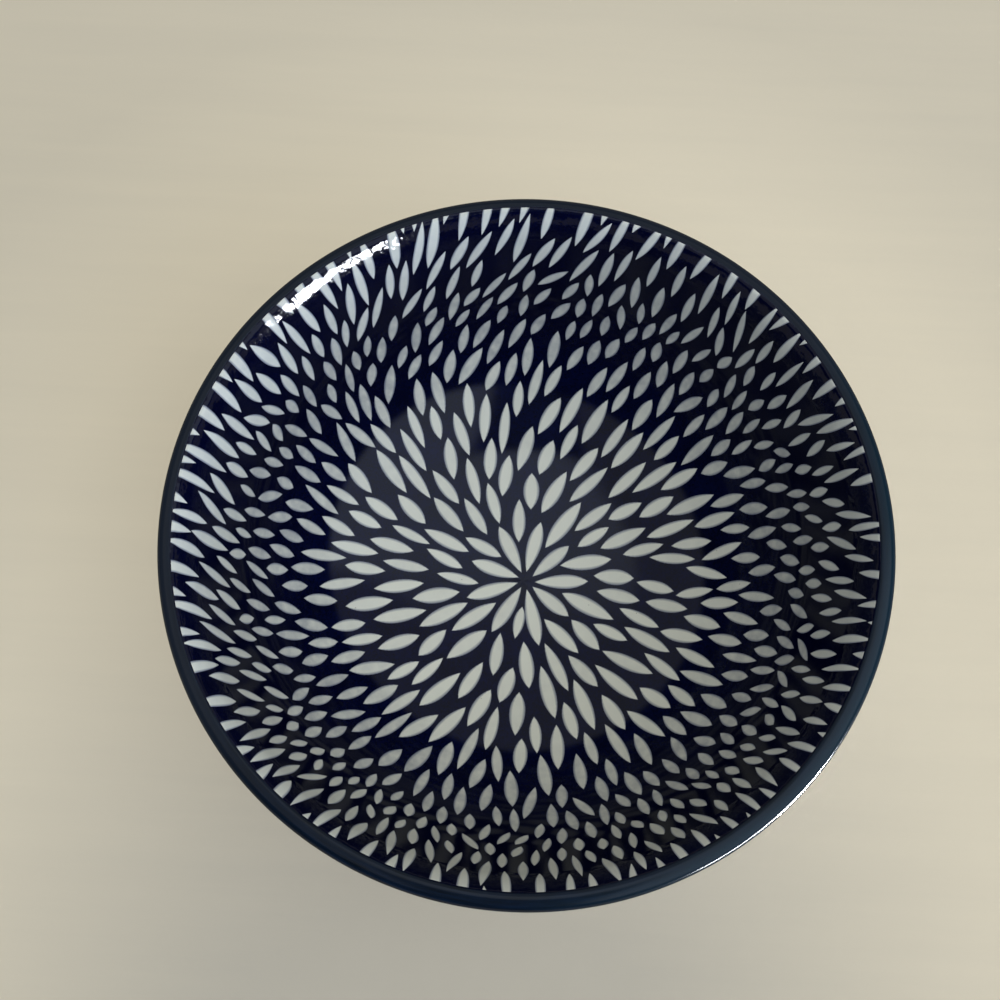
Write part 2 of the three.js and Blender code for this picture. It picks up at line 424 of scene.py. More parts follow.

# %% [markdown]
# ### Cobalt ground
#
# The dark ground is cobalt oxide printed on the clay under the clear glaze. Cobalt gives a blue so
# deep that it is nearly black where the coat is thick, and a little lighter where it is thin. Up the
# wall the blue is painted darker: a painted shade.

# %% Cobalt ground
COBALT_DEEP = "#01031a"
COBALT_THIN = "#03082c"
COBALT_CLOUD_MM = 9.0
COBALT_GRAIN_MM = 0.7
COBALT_THINS = (0.14, 0.40, 0.0, 1.0)
COBALT_PAINTED_SHADE_UPWARDS = (20 * MM, 34 * MM, 1.0, 0.35)


def cobalt_ground():
    material, node, place = blank("cobalt_under_clear_gloss_glaze")
    clouds = {"Vector": place, "Scale": per_metre(COBALT_CLOUD_MM), "Detail": 3.0, "Roughness": 0.6}
    cloud = node("TexNoise", clouds)
    grain = node("TexNoise", {"Vector": place, "Scale": per_metre(COBALT_GRAIN_MM), "Detail": 2.0})
    mottle = node("Math", [cloud, grain], operation="MULTIPLY")
    thin = node("MapRange", [mottle, *COBALT_THINS])
    # Painted shade: up the wall the lighter mottle fades out, so the blue there is darker.
    height = node("SeparateXYZ", [place]).outputs["Z"]
    painted_wall_shade = node("MapRange", [height, *COBALT_PAINTED_SHADE_UPWARDS])
    thin = node("Math", [thin, painted_wall_shade], operation="MULTIPLY")
    colour = node("Mix", [thin, linear(COBALT_DEEP), linear(COBALT_THIN)], data_type="RGBA")
    glaze_over(node, place, colour)
    return material


cobalt = cobalt_ground()
print("made", cobalt.name)

# %% [markdown]
# ### White slip petals
#
# The petals are the pale clay of a white slip, under the same clear glaze. The slip is an off-white
# with a little green and grey in it, and it differs slightly from petal to petal. Halfway up the wall
# it is greyer, and on the lower left side the grey reaches lower down: a painted shade. The cobalt
# bleeds into its edge, and a few specks of iron have burnt through.

# %% Petal slip
SLIP_WARM = "#e1ddc9"
SLIP_COOL_AND_PAINTED_SHADE = "#a9a79f"
SLIP_EDGE = "#454d68"
IRON_SPECK = "#6a5a44"
SLIP_CLOUD_MM = 2.5
IRON_SPECK_MM = 1.7
IRON_SPECK_SIZE = 0.085
IRON_SPECK_RARITY = 0.94
IRON_FADES = (IRON_SPECK_SIZE * 0.5, IRON_SPECK_SIZE, 0.8, 0.0)
COBALT_BLEEDS = (0.6, 1.0, 0.0, 0.9)
EDGE_ATTRIBUTE = "petal_edge"
TINT_AND_SHADE_ATTRIBUTE = "petal_tint_and_shade"


def petal_slip():
    material, node, place = blank("white_slip_under_clear_gloss_glaze")
    # Painted shade: a petal's tint value holds its random tint and a greyer slip halfway up the wall
    # and on the lower left side.
    tint_and_shade = node("Attribute", attribute_name=TINT_AND_SHADE_ATTRIBUTE).outputs["Fac"]
    cloud = node("TexNoise", {"Vector": place, "Scale": per_metre(SLIP_CLOUD_MM), "Detail": 3.0})
    cool_and_shade = node("Math", [cloud, tint_and_shade], operation="MULTIPLY")
    cells = {"Vector": place, "Scale": per_metre(IRON_SPECK_MM), "Randomness": 1.0}
    specks = node("TexVoronoi", cells)
    chosen = node("SeparateColor", [specks.outputs["Color"]])
    chosen = node("Math", [chosen, IRON_SPECK_RARITY], operation="GREATER_THAN")
    near = node("MapRange", [specks.outputs["Distance"], *IRON_FADES])
    iron = node("Math", [chosen, near], operation="MULTIPLY")
    edge = node("Attribute", attribute_name=EDGE_ATTRIBUTE).outputs["Fac"]
    bleed = node("MapRange", [edge, *COBALT_BLEEDS])
    colour = linear(SLIP_WARM)
    for share, shade in ((cool_and_shade, SLIP_COOL_AND_PAINTED_SHADE), (iron, IRON_SPECK), (bleed, SLIP_EDGE)):
        colour = node("Mix", [share, colour, linear(shade)], data_type="RGBA")
    glaze_over(node, place, colour)
    return material


slip = petal_slip()
print("made", slip.name)

# %% [markdown]
# ### Slate blue lip glaze
#
# The band over the lip is a thicker, slightly duller glaze, laid on with a full brush while the bowl
# turned. It runs in faint streaks round the rim. A noise pattern would be blotchy, so its coordinates
# are squeezed: the direction from the axis counts for little and the height counts for much, which
# draws every blotch out along the rim. Over the outer half of the lip light is painted into the colour:
# a painted grey reflection of the room on the side away from the window, and painted teal window light
# on the side towards it. Its outer edge is glossier than the rest, which draws a bright line there.

# %% Lip band glaze
SLATE_DEEP = "#0a1119"
SLATE_LIGHT = "#0d1a2a"
# Painted light over the lip's outer half: a grey reflection of the room on the side away from the
# window, and teal window light on the side towards it.
SLATE_PAINTED_REFLECTION = "#21262e"
SLATE_PAINTED_WINDOW_LIGHT = "#172831"
PAINTED_REFLECTION_DEGREES = 120
PAINTED_REFLECTION_GROWS = (-0.4, 0.0, 0.0, 1.0)
PAINTED_WINDOW_LIGHT_DEGREES = -25
PAINTED_WINDOW_LIGHT_GROWS = (0.45, 0.85, 0.0, 1.0)
PAINTED_ON_OUTER_HALF = ((crest_radius - 1.0) * MM, (crest_radius + 1.4) * MM, 0.0, 1.0)
STREAK_ROUND = 9.0
STREAK_ACROSS_MM = 0.9
STREAK_LIGHTENS = (0.32, 0.68, 0.0, 1.0)
STREAK_DEPTH = 0.03 * MM
SLATE_SHARE = 0.15
EDGE_SHARE = 0.3
EDGE_SHINES = ((RIM_RADIUS - 0.75) * MM, (RIM_RADIUS - 0.2) * MM, SLATE_SHARE, EDGE_SHARE)
SLATE_ROUGHNESS = 0.14
LEVEL_PLANE = (1.0, 1.0, 0.0)


def band_glaze():
    material, node, place = blank("slate_blue_brushed_lip_glaze")
    flat = node("VectorMath", [place, LEVEL_PLANE], operation="MULTIPLY")
    way = node("VectorMath", [flat], operation="NORMALIZE")
    wide = node("VectorMath", [way, STREAK_ROUND], operation="SCALE")
    away = node("VectorMath", [flat], operation="LENGTH")
    height = node("SeparateXYZ", [place]).outputs["Z"]
    down = node("Math", [away, height], operation="SUBTRACT")
    across = node("Math", [down, per_metre(STREAK_ACROSS_MM)], operation="MULTIPLY")
    lift = node("CombineXYZ", {"Z": across})
    drawn = node("VectorMath", [wide, lift], operation="ADD")
    streak = node("TexNoise", {"Vector": drawn, "Scale": 1.0, "Detail": 3.0, "Roughness": 0.55})
    light = node("MapRange", [streak, *STREAK_LIGHTENS])
    colour = node("Mix", [light, linear(SLATE_DEEP), linear(SLATE_LIGHT)], data_type="RGBA")
    outer = node("MapRange", [away, *PAINTED_ON_OUTER_HALF])
    # Painted reflection and painted window light, each growing towards its own side of the outer half.
    painted_reflection = (SLATE_PAINTED_REFLECTION, PAINTED_REFLECTION_DEGREES, PAINTED_REFLECTION_GROWS)
    painted_window_light = (SLATE_PAINTED_WINDOW_LIGHT, PAINTED_WINDOW_LIGHT_DEGREES, PAINTED_WINDOW_LIGHT_GROWS)
    for shade, degrees, grows in (painted_reflection, painted_window_light):
        towards = (math.cos(math.radians(degrees)), math.sin(math.radians(degrees)), 0.0)
        side = node("VectorMath", [way, towards], operation="DOT_PRODUCT")
        side = node("MapRange", [side, *grows])
        painted_share = node("Math", [outer, side], operation="MULTIPLY")
        colour = node("Mix", [painted_share, colour, linear(shade)], data_type="RGBA")
    bump = node("Bump", {"Height": streak, "Strength": 0.4, "Distance": STREAK_DEPTH})
    film = {
        "Base Color": colour, "Specular IOR Level": 0.0,
        "Coat Weight": node("MapRange", [away, *EDGE_SHINES]),
        "Coat Roughness": SLATE_ROUGHNESS, "Coat IOR": CLEAR_GLAZE_IOR, "Coat Normal": bump,
    }
    node("OutputMaterial", {"Surface": node("BsdfPrincipled", film)})
    return material


slate = band_glaze()
print("made", slate.name)

# %% [markdown]
# ### Dark blue outside glaze
#
# Outside, the bowl was dipped. A dipped glaze is thinner on edges, where the clay under it warms its
# colour, and it settles in soft clouds on the wall. Low down it has run into the angle of the foot.
# Real flecks in it are finer. They are drawn this coarse so that they show.

# %% Outside glaze
DIP_DEEP = "#0b2233"
DIP_LIGHT = "#10374e"
DIP_THIN = "#3a3a38"
DIP_CLOUD_MM = 12.0
DIP_FLECK_MM = 1.8
DIP_LIGHTENS = (0.75, 1.3, 0.0, 1.0)
DIP_RAGGED = 1.2 * MM
DIP_ENDS = ((BARE_FOOT_HEIGHT + 0.5) * MM, (BARE_FOOT_HEIGHT + 1.5) * MM, 0.75, 0.0)
DIP_WAVE_DEPTH = 0.04 * MM
DIP_ROUGHENS = (0.3, 0.7, 0.10, 0.18)
DIP_IOR = 1.5


def outside_glaze():
    material, node, place = blank("dark_blue_dipped_gloss_glaze")
    clouds = {"Vector": place, "Scale": per_metre(DIP_CLOUD_MM), "Detail": 4.0, "Roughness": 0.55}
    cloud = node("TexNoise", clouds)
    fleck = node("TexNoise", {"Vector": place, "Scale": per_metre(DIP_FLECK_MM), "Detail": 1.0})
    mottle = node("Math", [cloud, fleck], operation="ADD")
    light = node("MapRange", [mottle, *DIP_LIGHTENS])
    blue = node("Mix", [light, linear(DIP_DEEP), linear(DIP_LIGHT)], data_type="RGBA")
    height = node("SeparateXYZ", [place]).outputs["Z"]
    ragged = node("Math", [fleck, DIP_RAGGED, height], operation="MULTIPLY_ADD")
    thin = node("MapRange", [ragged, *DIP_ENDS])
    colour = node("Mix", [thin, blue, linear(DIP_THIN)], data_type="RGBA")
    wave = node("TexNoise", {"Vector": place, "Scale": per_metre(GLAZE_WAVE_MM), "Detail": 2.0})
    bump = node("Bump", {"Height": wave, "Strength": 0.5, "Distance": DIP_WAVE_DEPTH})
    roughness = node("MapRange", [cloud, *DIP_ROUGHENS])
    gloss = {"Base Color": colour, "Roughness": roughness, "IOR": DIP_IOR, "Normal": bump}
    node("OutputMaterial", {"Surface": node("BsdfPrincipled", gloss)})
    return material


dipped = outside_glaze()
print("made", dipped.name)

# %% [markdown]
# ### Bare fired stoneware
#
# Where the foot meets the table the glaze was wiped off, or the bowl would have stuck in the kiln.
# What shows there is buff stoneware: matt, a little sandy, with iron flecks and the fine rings that
# the turning tool left.

# %% Bare clay
CLAY_PALE = "#cbbd9f"
CLAY_DARK = "#a8946f"
CLAY_FLECK = "#6d5238"
CLAY_GRAIN_MM = 0.5
CLAY_FLECK_MM = 1.4
CLAY_FLECKS_SHOW = (0.66, 0.74, 0.0, 0.8)
TOOL_RING_MM = 0.45
TOOL_RING_SHARE = 0.25
CLAY_RELIEF = 0.08 * MM
CLAY_ROUGHNESS = 0.88
CLAY_IOR = 1.5


def bare_clay():
    material, node, place = blank("bare_fired_stoneware")
    grains = {"Vector": place, "Scale": per_metre(CLAY_GRAIN_MM), "Detail": 4.0, "Roughness": 0.65}
    grain = node("TexNoise", grains)
    buff = node("Mix", [grain, linear(CLAY_PALE), linear(CLAY_DARK)], data_type="RGBA")
    fleck = node("TexNoise", {"Vector": place, "Scale": per_metre(CLAY_FLECK_MM), "Detail": 1.0})
    fleck = node("MapRange", [fleck, *CLAY_FLECKS_SHOW])
    colour = node("Mix", [fleck, buff, linear(CLAY_FLECK)], data_type="RGBA")
    flat = node("VectorMath", [place, LEVEL_PLANE], operation="MULTIPLY")
    away = node("VectorMath", [flat], operation="LENGTH")
    rings = node("Math", [away, TAU * per_metre(TOOL_RING_MM)], operation="MULTIPLY")
    rings = node("Math", [rings], operation="SINE")
    tooled = node("Math", [rings, TOOL_RING_SHARE, grain], operation="MULTIPLY_ADD")
    bump = node("Bump", {"Height": tooled, "Strength": 0.6, "Distance": CLAY_RELIEF})
    matt = {"Base Color": colour, "Roughness": CLAY_ROUGHNESS, "IOR": CLAY_IOR, "Normal": bump}
    node("OutputMaterial", {"Surface": node("BsdfPrincipled", matt)})
    return material


clay = bare_clay()
print("made", clay.name)

# %% [markdown]
# ## The lining and the band
#
# The lining runs from the middle of the floor over the inside of the lip, and the band takes over
# near the crest. A brush never follows a rim exactly: the band's edge lies a little to one side and
# wanders by a tenth of a millimetre. The band is also thicker than the lining, so its edge stands
# proud by a few hundredths and is rounded off, and that thin step is what catches the light.

# %% Where the band begins
BAND_RAISE = 0.50
BAND_SHIFT = (-0.294, 0.509)
BAND_WANDER = 0.07
BAND_WAVES = [(7, 1.3), (11, 0.0), (17, 2.1)]
BAND_STEP = 0.06
BAND_STEP_WIDTH = 0.3
LINING_SINK_REACH = 5.0
ROW_STEP = 0.85
LIP_ROW_STEP = 0.16


def band_begins(angle):
    """How far from the middle the band begins at an angle, in mm: never past the crest."""
    shift = BAND_SHIFT[0] * np.cos(angle) + BAND_SHIFT[1] * np.sin(angle)
    wander = BAND_WANDER * sum(np.sin(turns * angle + start) for turns, start in BAND_WAVES)
    return np.minimum(lining_edge + BAND_RAISE + shift + wander / len(BAND_WAVES), lip_length)


def ease(value):
    """A smooth rise from 0 to 1."""
    value = np.clip(value, 0, 1)
    return value * value * (3 - 2 * value)


def lining_point(distance, angle, lift=0.0):
    """A point on the lining, or lifted off it, in mm: distance from the middle, then angle."""
    place, normal = walk(INSIDE, distance)
    sunk = BAND_STEP * ease(1 - (band_begins(angle) - distance) / LINING_SINK_REACH)
    return turned(place, normal, sunk + ripple(distance, angle) - lift, angle)


begins = band_begins(around)
print("band begins between", begins.min().round(2), "and", begins.max().round(2))

# %% Make the lining
wall_rows = np.arange(1, int(wall_top / ROW_STEP) + 1) * wall_top / int(wall_top / ROW_STEP)
lip_share = np.linspace(0, 1, int((lining_edge - wall_top) / LIP_ROW_STEP) + 1)[1:]


def lining_rows():
    """Distances along the lining: even rows up the wall, then finer ones round to the band."""
    rows = [np.full(TURNS, row) for row in wall_rows]
    rows += [wall_top + share * (begins - wall_top) for share in lip_share]
    return np.array(rows)


def clay_point(arcs, distance, angle):
    """A point on the clay under a coat, in mm."""
    place, normal = walk(arcs, distance)
    return turned(place, normal, np.full(np.shape(distance), GLAZE_THICKNESS), angle)


def make_lining():
    rows = lining_rows()
    angles = np.broadcast_to(around, rows.shape)
    shown = lining_point(rows, angles)
    hidden = clay_point(INSIDE, rows[::-2], angles[::-2])
    middle = lining_point(np.zeros(1), np.zeros(1))[0]
    under = clay_point(INSIDE, np.zeros(1), np.zeros(1))[0]
    points = np.concatenate([shown.reshape(-1, 3), hidden.reshape(-1, 3), [middle], [under]])
    count = len(rows) + len(hidden)
    return piece("lining", points, capped_faces(count), cobalt, "inside_glaze")


make_lining()

# %% [markdown]
# The band is one closed ring of glaze. A torus could stand in for it, but its section is the lip's
# own curve. So it walks the same arcs: over the crest, down to the outer edge of the lip, and back
# along the clay underneath.

# %% Make the lip band
CREST_ROOM = 0.6
CREST_ROWS = 13
crest_end = lip_length + CREST_ROOM
band_end = length_of(OVER_LIP)
crest_share = np.linspace(0, 1, CREST_ROWS)
outer_rows = np.linspace(crest_end, band_end, int((band_end - crest_end) / LIP_ROW_STEP) + 1)[1:]


def band_step(inward):
    """How far the band has rounded off below its full height, in mm, near one of its edges."""
    left = np.clip(1 - inward / BAND_STEP_WIDTH, 0, 1)
    return BAND_STEP * (1 - np.sqrt(1 - left * left))


def make_band():
    inner = [begins + share * (crest_end - begins) for share in crest_share]
    outer = [np.full(TURNS, row) for row in outer_rows]
    rows = np.array(inner + outer)
    angles = np.broadcast_to(around, rows.shape)
    place, normal = walk(OVER_LIP, rows)
    sunk = band_step(rows - begins) + band_step(band_end - rows) + ripple(rows, angles)
    shown = turned(place, normal, sunk, angles)
    hidden = clay_point(OVER_LIP, rows[::-1], angles)
    points = np.concatenate([shown.reshape(-1, 3), hidden.reshape(-1, 3)])
    return piece("lip_band", points, ring_faces(2 * len(shown)), slate, "rim_band")


make_band()

# %% [markdown]
# ## The outside and the foot
#
# The outside coat comes down the wall, rounds the angle above the foot and ends in a small bead just
# clear of the table. The foot ring under it is bare, with both edges rounded by a damp finger.

# %% Make the outside coat
OUTSIDE_ROW_STEP = 1.0
BEAD_STEPS = 6
outside_length = length_of(OUTSIDE)
bead_radius = GLAZE_THICKNESS / 2
bead_height = BARE_FOOT_HEIGHT + bead_radius
outside_rows = np.linspace(0, outside_length, int(outside_length / OUTSIDE_ROW_STEP) * 2 + 1)


def row_of(radius, height):
    """One row of points round the bowl, in mm."""
    return np.stack([radius * np.cos(around), radius * np.sin(around), np.full(TURNS, height)], -1)


def rounded_rows(centre, height, radius, start, end, steps):
    """Rows along an arc of the section, about a centre at that distance from the axis and height."""
    angles = np.linspace(start, end, steps)
    return [row_of(centre + radius * math.cos(a), height + radius * math.sin(a)) for a in angles]


def make_outside():
    rows = np.array([np.full(TURNS, row) for row in outside_rows])
    angles = np.broadcast_to(around, rows.shape)
    place, normal = walk(OUTSIDE, rows)
    fade = ease(rows / LINING_SINK_REACH) * ease((outside_length - rows) / LINING_SINK_REACH)
    sunk = BAND_STEP * (1 - ease(rows / LINING_SINK_REACH)) + ripple(rows, angles) * fade
    shown = turned(place, normal, sunk, angles)
    hidden = clay_point(OUTSIDE, rows[::-2], angles[::-2])
    bead = rounded_rows(FOOT_RADIUS - bead_radius, bead_height, bead_radius, 0, -math.pi, BEAD_STEPS)
    points = np.concatenate([shown.reshape(-1, 3), np.reshape(bead, (-1, 3)), hidden.reshape(-1, 3)])
    count = len(rows) + len(bead) + len(hidden)
    return piece("outside_coat", points, ring_faces(count), dipped, "outside_glaze")


make_outside()

# %% [markdown]
# The foot ring was trimmed with a turning tool while the clay was firm. A Bevel modifier could round
# its lower edges, but its section needs few rows, so they are written out: a flat top under the body,
# two rounded edges and, between them, the shallow grooves that the tool left.

# %% Make the foot ring
FOOT_EDGE_STEPS = 8
TOOL_GROOVE_DEPTH = 0.06
TOOL_GROOVES = 4
GROOVE_ROWS = 4
clay_foot_radius = FOOT_RADIUS - GLAZE_THICKNESS
well_radius = FOOT_RADIUS - FOOT_RING_WIDTH
well_clay_radius = well_radius + GLAZE_THICKNESS
clay_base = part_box("stoneware_body")[0].z / MM


def make_foot_ring():
    outer_edge = clay_foot_radius - FOOT_EDGE_RADIUS
    inner_edge = well_clay_radius + FOOT_EDGE_RADIUS
    rows = [row_of(well_clay_radius, clay_base), row_of(clay_foot_radius, clay_base)]
    high = wide = FOOT_EDGE_RADIUS
    rows += rounded_rows(outer_edge, high, wide, 0, -math.pi / 2, FOOT_EDGE_STEPS)
    grooves = np.linspace(outer_edge, inner_edge, GROOVE_ROWS * TOOL_GROOVES + 1)[1:-1]
    for at, radius in enumerate(grooves):
        rows.append(row_of(radius, TOOL_GROOVE_DEPTH if at % GROOVE_ROWS == 1 else 0.0))
    rows += rounded_rows(inner_edge, high, wide, -math.pi / 2, -math.pi, FOOT_EDGE_STEPS)
    points = np.concatenate(rows)
    return piece("foot_ring_turned", points, ring_faces(len(rows)), clay, "foot_ring")


make_foot_ring()

# %% [markdown]
# The dip also left a coat inside the foot ring, which a wide bowl shows when it dries upside down. It
# is a shallow dish: a ceiling that sags a little, a rounded corner where glaze gathered, and a bead
# above the bare ring.

# %% Make the coat in the foot well
WELL_FILLET = 2.0
WELL_FILLET_STEPS = 8
WELL_DOME = 0.4
WELL_ROW_STEP = 2.0
well_top = clay_base - GLAZE_THICKNESS


def make_well():
    fillet_middle = well_radius - WELL_FILLET
    floor_radii = np.arange(WELL_ROW_STEP, fillet_middle, WELL_ROW_STEP)
    rows = [row_of(r, well_top - WELL_DOME * (1 - (r / fillet_middle) ** 2)) for r in floor_radii]
    rows += rounded_rows(
        fillet_middle, well_top - WELL_FILLET, WELL_FILLET, math.pi / 2, 0, WELL_FILLET_STEPS
    )
    rows += rounded_rows(well_radius + bead_radius, bead_height, bead_radius, math.pi, TAU, BEAD_STEPS)
    rows += [row_of(well_clay_radius, clay_base)]
    ends = [[0, 0, clay_base], [0, 0, well_top - WELL_DOME]]
    points = np.concatenate([*rows[::-1], ends])
    faces = capped_faces(len(rows))
    return piece("well_coat", points, faces, dipped, "foot_well_glaze")


make_well()

# %% [markdown]
# Under all the coats lies the fired clay, and nothing of it shows. It needs no mesh of its own: the
# frame's solid stays as it is and only takes the clay's finish.

# %% Dress the clay body
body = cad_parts["stoneware_body"]
body.data.materials.clear()
body.data.materials.append(clay)
print("the clay body stays as it is in the frame, under the coats, and takes", clay.name)

# %% [markdown]
# ## The petal burst
#
# The inside carries a common pattern: pale pointed petals that burst from the middle like those of a
# chrysanthemum, each tucked into the gap between two others. No two are alike, so no array modifier
# would do. A painter starts with a ring round the middle and then drops each new petal into the
# deepest gap that is left. The script does the same. It keeps a front, the height that the pattern
# has reached at each angle, and always fills its lowest valley.

# %% How long and wide a petal is, by its distance from the middle, in mm
SIZE_AT = [0, 8, 20, 45, 58, 68, 76, 84, 92, 106]
PETAL_LENGTHS = [14.4, 14.0, 12.0, 11.8, 9.8, 7.5, 7.1, 9.2, 12.6, 13.4]
PETAL_WIDTHS = [4.1, 4.1, 3.7, 3.2, 2.9, 2.5, 2.3, 2.3, 2.2, 2.2]
LARGER_SIDE = math.radians(165)
LARGER_FROM, LARGER_REACH = 76, 16
LARGER_LENGTH, LARGER_WIDTH, LARGER_GAP = 0.12, 0.17, -0.1


def larger_share(distance, angle):
    """From -1 to 1: how far a place near the rim belongs to the side with larger petals."""
    return np.clip((distance - LARGER_FROM) / LARGER_REACH, 0, 1) * math.cos(angle - LARGER_SIDE)


def petal_size(distance, angle):
    """Usual length and width of a petal at a place, in mm."""
    length = float(np.interp(distance, SIZE_AT, PETAL_LENGTHS))
    width = float(np.interp(distance, SIZE_AT, PETAL_WIDTHS))
    larger = larger_share(distance, angle)
    return float(length * (1 + LARGER_LENGTH * larger)), float(width * (1 + LARGER_WIDTH * larger))


print("a petal near the middle, in mm:", petal_size(6, 0), "and near the lip:", petal_size(96, 0))

# %% How far a petal leans
SWIRL_AT = [0, 50, 66, 82, 96]
SWIRL_DEGREES = [3.0, 4.0, 7.0, 7.0, 5.0]
SWIRL_WAVES = 10
SWIRL_TURNS = (2, 7)
SWIRL_PULL = 0.10
TWIST, TWIST_TO_THE_FRONT, TWIST_TO_THE_SIDES = -8, -10, -4
TWIST_SHARES = [0.2, 0.6, 1.0, 1.0, 0.6]
LEAN_SPREAD = [5.0, 7.0, 11.0, 10.0, 5.0]


def swirl_field(chance):
    """A function of distance and angle: how far a petal there leans away from the radius, in degrees.

    Most of them twist a little one way, those near the front the other way, neighbours sway together,
    and each has a lean of its own."""
    waves = [
        (chance.randint(*SWIRL_TURNS), chance.uniform(0, TAU), chance.uniform(-SWIRL_PULL, SWIRL_PULL))
        for _ in range(SWIRL_WAVES)
    ]

    def swirl(distance, angle):
        most = np.interp(distance, SWIRL_AT, SWIRL_DEGREES)
        total = sum(math.sin(n * angle + start + pull * distance) for n, start, pull in waves)
        twist = TWIST + TWIST_TO_THE_FRONT * math.sin(angle) + TWIST_TO_THE_SIDES * math.cos(2 * angle)
        twist *= np.interp(distance, SWIRL_AT, TWIST_SHARES)
        alone = chance.gauss(0, np.interp(distance, SWIRL_AT, LEAN_SPREAD))
        return float(twist + most * total / math.sqrt(SWIRL_WAVES / 2) + alone)

    return swirl


print("most sway of neighbours, in degrees:", max(SWIRL_DEGREES))

# %% [markdown]
# The burst starts with one ring of petals round the middle. From then on each petal drops into the
# lowest valley of the front and raises it by a pointed arch, so that the next one lands beside it. A
# little seeded noise on the front keeps the rows from lining up.

# %% Keep a front over the petals
FRONT_STEPS = 1440
SECTION_STEPS = 2001
GAP_ALONG = 1.7
GAP_ACROSS = 1.95
GAP_AT = [0, 16, 28, 42, 60, 72, 80, 90]
GAP_SHARES = [1.0, 1.1, 1.3, 1.0, 0.9, 1.0, 1.25, 1.25]
ARCH_MIDDLE = 0.45
front_angles = np.arange(FRONT_STEPS) * TAU / FRONT_STEPS
section_steps = np.linspace(0, lip_length, SECTION_STEPS)
section_radii = walk(INSIDE, section_steps)[0][:, 0]


def radius_at(distance):
    """Radius from the axis at a distance along the inside, in mm."""
    return np.interp(distance, section_steps, section_radii)


def raise_front(front, distance, angle, length, width):
    """Lifts the front over a new petal, a pointed arch as wide as the petal and its gap."""
    apart = (front_angles - angle + math.pi) % TAU - math.pi
    gap = np.interp(distance, GAP_AT, GAP_SHARES) * (1 + LARGER_GAP * larger_share(distance, angle))
    share = np.abs(apart) * radius_at(distance + ARCH_MIDDLE * length) / (width + GAP_ACROSS * gap)
    arch = distance + (length + GAP_ALONG * gap) * np.sqrt(np.maximum(0, 1 - share))
    np.maximum(front, np.where(share < 1, arch, 0), out=front)


print("steps of the front round the bowl:", FRONT_STEPS)

# %% Drop the petals into the lowest gaps
PETAL_SEED = 7
FIRST_VALLEY = 9.0
MIDDLE_GAP = 1.9
PETALS_IN_FIRST_RING = 9
FIRST_RING_AT = 6
FIRST_SCALES = (-0.16, 0.08)
FIRST_WIDTH, FIRST_WIDENS = 0.8, 0.1
FIRST_SPREAD, FIRST_TURN, FIRST_LEAN = 0.5, 0.1, 2
FIRST_RING_SKEW = 0.25
LENGTH_SPREAD = 0.20
WIDTH_SPREAD = 0.15
SKEW_SPREAD = 0.15
DROP_SPREAD = 0.4
FRONT_ROUGHNESS = 1.8
RENEW_STEPS = 10
BEYOND_LIP = 6.0


def pile_petals():
    """Petals as rows of distance, angle, length, width, lean in degrees, and skew."""
    chance = random.Random(PETAL_SEED)
    swirl = swirl_field(chance)
    front = np.full(FRONT_STEPS, FIRST_VALLEY)
    petals = []
    for number in range(PETALS_IN_FIRST_RING):
        scale = 1 + chance.uniform(*FIRST_SCALES)
        length, width = petal_size(FIRST_RING_AT, 0)
        length, width = length * scale, width * (FIRST_WIDTH + FIRST_WIDENS * scale)
        distance = MIDDLE_GAP + length / 2 + chance.uniform(0, FIRST_SPREAD)
        angle = TAU * (number + chance.uniform(-FIRST_TURN, FIRST_TURN)) / PETALS_IN_FIRST_RING
        petals.append([distance, angle, length, width, chance.gauss(0, FIRST_LEAN), FIRST_RING_SKEW])
        raise_front(front, distance, angle, length, width)
    noise = np.array([chance.uniform(0, FRONT_ROUGHNESS) for _ in range(FRONT_STEPS)])
    while front.min() < lining_edge + BEYOND_LIP:
        lowest = int(np.argmin(front + noise))
        valley, angle = float(front[lowest]), front_angles[lowest]
        length, width = petal_size(valley, angle)
        length *= 1 + chance.uniform(-LENGTH_SPREAD, LENGTH_SPREAD)
        width *= 1 + chance.uniform(-WIDTH_SPREAD, WIDTH_SPREAD)
        distance = valley + chance.uniform(0, DROP_SPREAD)
        lean = swirl(valley, angle)
        petals.append([distance, angle, length, width, lean, chance.uniform(-SKEW_SPREAD, SKEW_SPREAD)])
        raise_front(front, distance, angle, length, width)
        for step in range(lowest - RENEW_STEPS, lowest + RENEW_STEPS + 1):
            noise[step % FRONT_STEPS] = chance.uniform(0, FRONT_ROUGHNESS)
    return np.array(petals)


petals = pile_petals()
print("petals dropped:", len(petals))

# %% [markdown]
# A petal is drawn flat: ahead towards its tip, and aside. The inside of the bowl is curved both ways,
# and a Shrinkwrap modifier would squeeze petals on the steep wall. Near one petal the inside is almost
# a cone, and a cone unrolls without stretching, so each petal is bent round its own cone.

# %% Bend a petal's own plane onto the inside
PETAL_POWER = 2.2
LEAST_SLOPE = 0.02
section_slopes = np.gradient(section_radii, section_steps)


def half_width(along, width, skew):
    """Half the width of a petal at a place along it, which runs from -1 at its foot to 1 at its tip."""
    return width / 2 * (1 - np.abs(along) ** PETAL_POWER) * (1 + skew * along)


def bend_onto(distance, angle, ahead, aside):
    """Distance and angle of places measured ahead and aside from a petal's middle, in mm."""
    radius = radius_at(distance)
    slope = np.interp(distance, section_steps, section_slopes)
    cone = radius / np.maximum(slope, LEAST_SLOPE)
    new_distance = distance + np.hypot(cone + ahead, aside) - cone
    new_angle = angle + np.arctan2(aside, cone + ahead) * cone / radius
    return new_distance, new_angle


print("half width halfway to the tip of a petal 3.4 mm wide:", round(float(half_width(0.5, 3.4, 0)), 2))

# %% [markdown]
# Dropped petals still crowd each other, because the front knows only their arches. A painter's eye
# keeps an even gap. To copy that, each petal is taken as five discs in a row, and petals whose discs
# come too close push each other apart, a little at a time. What still crowds at the end is shrunk.

